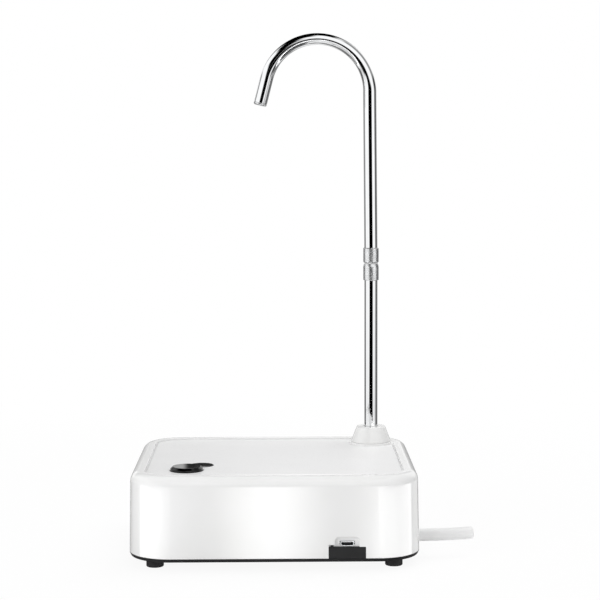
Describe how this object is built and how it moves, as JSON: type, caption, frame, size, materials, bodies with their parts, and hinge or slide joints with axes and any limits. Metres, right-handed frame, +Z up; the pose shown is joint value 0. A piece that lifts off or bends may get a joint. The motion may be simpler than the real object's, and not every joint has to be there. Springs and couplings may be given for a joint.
{
  "type": "bottled water pump",
  "caption": "Desktop pump for bottled water: a white tray base with a push button, a charging socket, a suction hose and a tall swivelling steel gooseneck spout.",
  "frame": {"origin": "centre of the base on the surface that the feet stand on", "axes": "+X to the right seen from the front, +Y from the front to the back, +Z up"},
  "size_m": [0.1954, 0.139, 0.3014],
  "materials": {
    "white_abs": "glossy moulded white ABS",
    "black_abs": "fine matt black ABS",
    "black_gloss": "high gloss black plastic",
    "foot_rubber": "matt black rubber",
    "seal_rubber": "smooth black rubber",
    "silicone": "translucent white silicone",
    "polished_steel": "mirror polished stainless steel",
    "satin_steel": "satin turned stainless steel",
    "zinc_steel": "zinc plated steel",
    "grey_nylon": "grey glass-filled nylon",
    "connector_nylon": "natural nylon",
    "circuit_board": "green solder mask",
    "led_resin": "clear resin",
    "capacitor_can": "dark sleeve on an aluminium can",
    "battery_wrap": "blue shrink wrap",
    "copper": "enamelled copper windings",
    "red_wire": "PVC wire jacket",
    "black_wire": "PVC wire jacket",
    "grey_wire": "PVC ribbon jacket"
  },
  "bodies": {
    "base": {"housing": "white_abs", "base_plate": "black_abs", "foot_front_left": "foot_rubber", "foot_front_right": "foot_rubber", "foot_rear_left": "foot_rubber", "foot_rear_right": "foot_rubber", "base_screw_front_left": "zinc_steel", "base_screw_front_right": "zinc_steel", "base_screw_rear_left": "zinc_steel", "base_screw_rear_right": "zinc_steel", "collar": "white_abs", "spout_socket": "grey_nylon", "spout_o_ring": "seal_rubber", "spout_elbow": "grey_nylon", "indicator_lens": "black_gloss", "button_board": "circuit_board", "switch_body": "satin_steel", "indicator_led": "led_resin", "main_board": "circuit_board", "usb_shell": "satin_steel", "usb_tongue": "black_abs", "charge_chip": "black_abs", "capacitor": "capacitor_can", "battery_connector": "connector_nylon", "motor_connector": "connector_nylon", "board_screw": "zinc_steel", "battery_cell": "battery_wrap", "battery_strap": "black_abs", "motor_can": "zinc_steel", "motor_end_cap": "black_abs", "pump_body": "grey_nylon", "wobble_plate": "connector_nylon", "diaphragm": "seal_rubber", "valve_plate": "connector_nylon", "pump_head": "grey_nylon", "pump_screw_1": "zinc_steel", "pump_screw_2": "zinc_steel", "motor_clamp": "black_abs", "clamp_screw": "zinc_steel", "hose_grommet": "silicone", "inlet_fitting": "grey_nylon", "suction_hose": "silicone", "inlet_hose": "silicone", "outlet_hose": "silicone", "battery_cable": "red_wire", "motor_cable": "black_wire", "button_cable": "grey_wire"},
    "spout": {"lower_tube": "polished_steel", "spout_clip": "zinc_steel", "lower_sleeve": "satin_steel", "coupling_nipple": "satin_steel", "coupling_seal": "silicone", "upper_sleeve": "satin_steel", "gooseneck": "polished_steel", "outlet_tip": "polished_steel"},
    "button": {"button_cap": "black_gloss", "switch_plunger": "black_abs"},
    "rotor": {"motor_shaft": "polished_steel", "armature": "copper", "eccentric": "connector_nylon"}
  },
  "joints": [
    {"name": "spout_swivel", "type": "hinge", "parent": "base", "child": "spout", "pos_m": [0.0593, 0.0473, 0.0526], "axis": [0, 0, 1], "continuous": true},
    {"name": "button_press", "type": "slide", "parent": "base", "child": "button", "axis": [0, 0, -1], "range_m": [0, 0.0008], "stiffness_N_per_m": 1500, "springref_m": -0.0004},
    {"name": "rotor_spin", "type": "hinge", "parent": "base", "child": "rotor", "pos_m": [-0.03, -0.03, 0.022], "axis": [1, 0, 0], "continuous": true}
  ]
}
